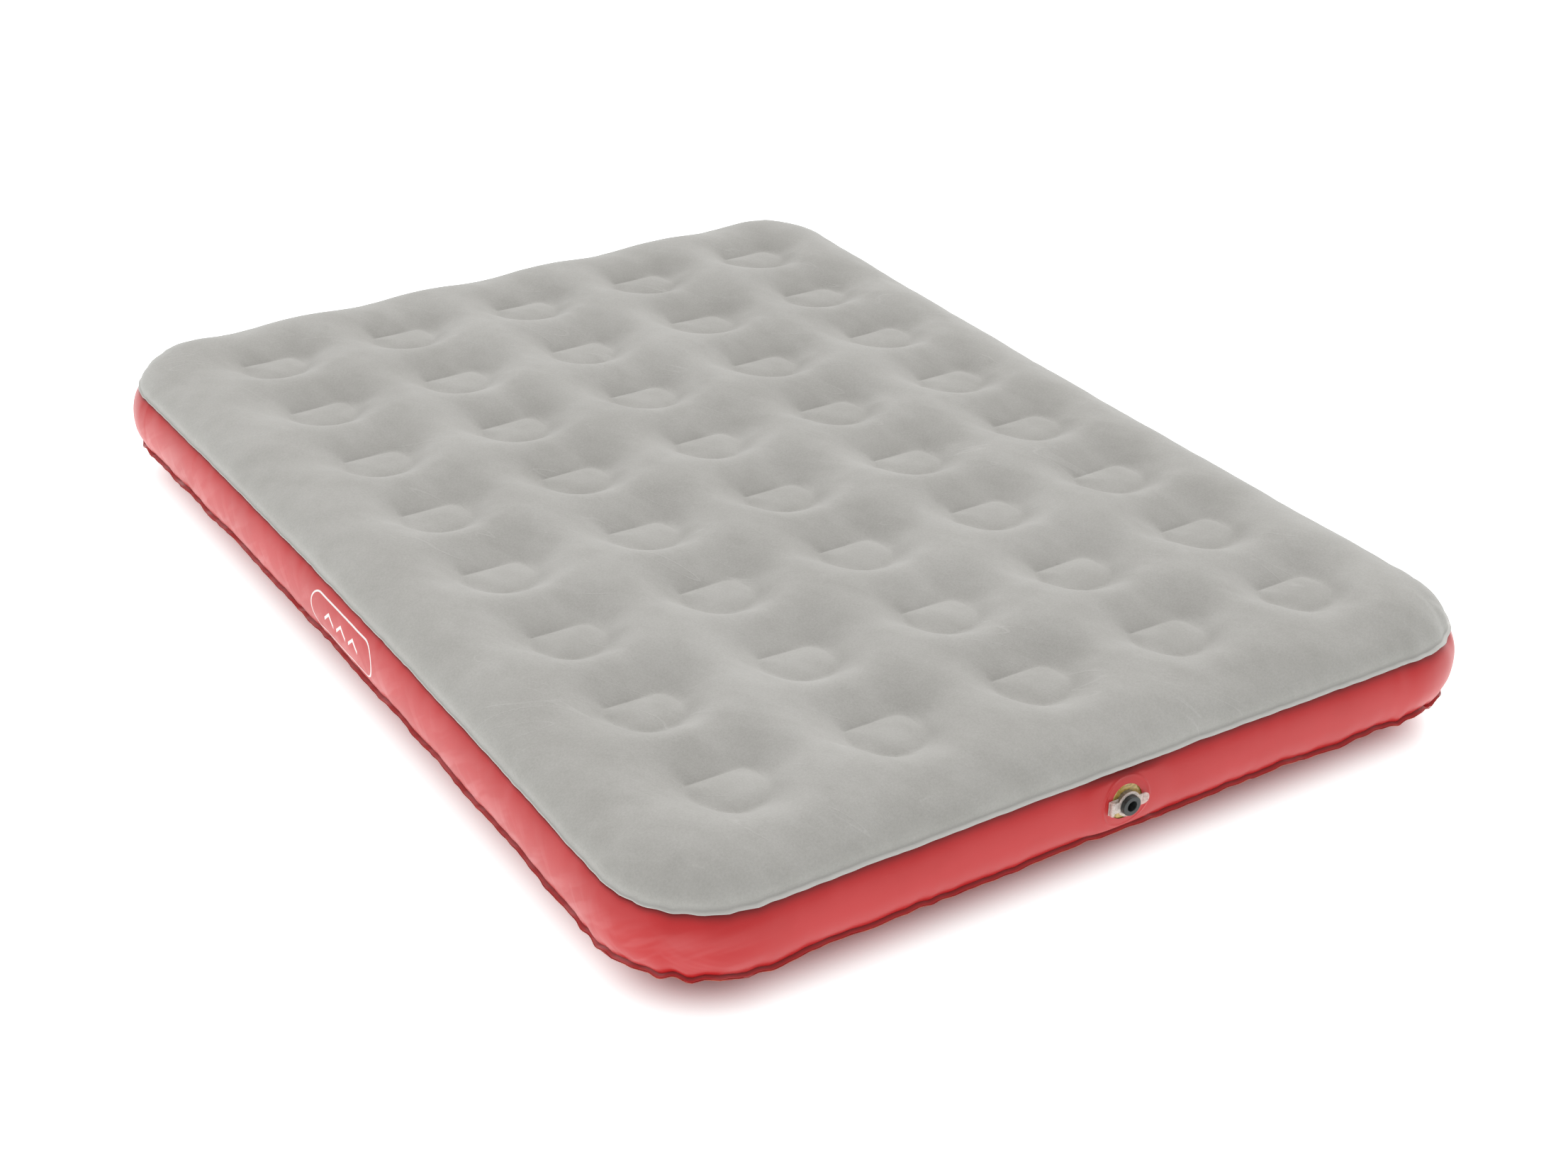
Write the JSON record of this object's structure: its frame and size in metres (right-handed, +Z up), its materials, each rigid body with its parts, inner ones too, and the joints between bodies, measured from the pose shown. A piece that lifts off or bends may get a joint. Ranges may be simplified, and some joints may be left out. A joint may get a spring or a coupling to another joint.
{
  "type": "air mattress",
  "caption": "Inflatable double bed with a flocked dimpled top, a red vinyl side wall, internal tie tubes and a capped air valve at the foot.",
  "frame": {"origin": "on the floor under the middle of the bed", "axes": "+X across the bed, +Y from the valve end towards the head, +Z up"},
  "size_m": [1.4002, 1.8959, 0.216],
  "materials": {
    "flocked_top": "short grey flock on vinyl",
    "red_vinyl": "satin vinyl",
    "base_vinyl": "embossed vinyl",
    "tube_vinyl": "plain vinyl",
    "clear_vinyl": "clear soft vinyl, slightly yellow",
    "black_plastic": "satin moulded"
  },
  "bodies": {
    "base": {"bottom_sheet": "base_vinyl", "side_wall": "red_vinyl", "valve_disc": "clear_vinyl", "tie_tube_a1": "tube_vinyl", "tie_tube_a2": "tube_vinyl", "tie_tube_a3": "tube_vinyl", "tie_tube_a4": "tube_vinyl", "tie_tube_a5": "tube_vinyl", "tie_tube_b1": "tube_vinyl", "tie_tube_b2": "tube_vinyl", "tie_tube_b3": "tube_vinyl", "tie_tube_b4": "tube_vinyl", "tie_tube_b5": "tube_vinyl", "tie_tube_c1": "tube_vinyl", "tie_tube_c2": "tube_vinyl", "tie_tube_c3": "tube_vinyl", "tie_tube_c4": "tube_vinyl", "tie_tube_c5": "tube_vinyl", "tie_tube_d1": "tube_vinyl", "tie_tube_d2": "tube_vinyl", "tie_tube_d3": "tube_vinyl", "tie_tube_d4": "tube_vinyl", "tie_tube_d5": "tube_vinyl", "tie_tube_e1": "tube_vinyl", "tie_tube_e2": "tube_vinyl", "tie_tube_e3": "tube_vinyl", "tie_tube_e4": "tube_vinyl", "tie_tube_e5": "tube_vinyl", "tie_tube_f1": "tube_vinyl", "tie_tube_f2": "tube_vinyl", "tie_tube_f3": "tube_vinyl", "tie_tube_f4": "tube_vinyl", "tie_tube_f5": "tube_vinyl", "tie_tube_g1": "tube_vinyl", "tie_tube_g2": "tube_vinyl", "tie_tube_g3": "tube_vinyl", "tie_tube_g4": "tube_vinyl", "tie_tube_g5": "tube_vinyl", "tie_tube_h1": "tube_vinyl", "tie_tube_h2": "tube_vinyl", "tie_tube_h3": "tube_vinyl", "tie_tube_h4": "tube_vinyl", "tie_tube_h5": "tube_vinyl"},
    "top": {"top_sheet": "flocked_top"},
    "valve": {"valve_neck": "clear_vinyl", "strap_anchor": "clear_vinyl"},
    "cap": {"cap_strap": "clear_vinyl", "cap_plug": "black_plastic"},
    "flap": {"check_flap": "clear_vinyl"}
  },
  "joints": [
    {"name": "air_spring", "type": "slide", "parent": "base", "child": "top", "axis": [0, 0, 1], "range_m": [-0.05, 0], "stiffness_N_per_m": 11000, "springref_m": 0.006, "deforming": ["side_wall", "valve_disc", "tie_tube_a1", "tie_tube_a2", "tie_tube_a3", "tie_tube_a4", "tie_tube_a5", "tie_tube_b1", "tie_tube_b2", "tie_tube_b3", "tie_tube_b4", "tie_tube_b5", "tie_tube_c1", "tie_tube_c2", "tie_tube_c3", "tie_tube_c4", "tie_tube_c5", "tie_tube_d1", "tie_tube_d2", "tie_tube_d3", "tie_tube_d4", "tie_tube_d5", "tie_tube_e1", "tie_tube_e2", "tie_tube_e3", "tie_tube_e4", "tie_tube_e5", "tie_tube_f1", "tie_tube_f2", "tie_tube_f3", "tie_tube_f4", "tie_tube_f5", "tie_tube_g1", "tie_tube_g2", "tie_tube_g3", "tie_tube_g4", "tie_tube_g5", "tie_tube_h1", "tie_tube_h2", "tie_tube_h3", "tie_tube_h4", "tie_tube_h5"]},
    {"name": "valve_drop", "type": "slide", "parent": "base", "child": "valve", "axis": [0, 0, 1], "range_m": [-0.0256, 0]},
    {"name": "cap_hinge", "type": "hinge", "parent": "valve", "child": "cap", "pos_m": [-0.017, -0.947, 0.11], "axis": [0, 0, -1], "range_deg": [0, 140]},
    {"name": "flap_hinge", "type": "hinge", "parent": "valve", "child": "flap", "pos_m": [-0.005, -0.9292, 0.11], "axis": [0, 0, 1], "range_deg": [0, 50], "stiffness_Nm_per_rad": 0.004}
  ],
  "couplings": [
    {"joint": "valve_drop", "follows": "air_spring", "ratio": 0.5093}
  ]
}
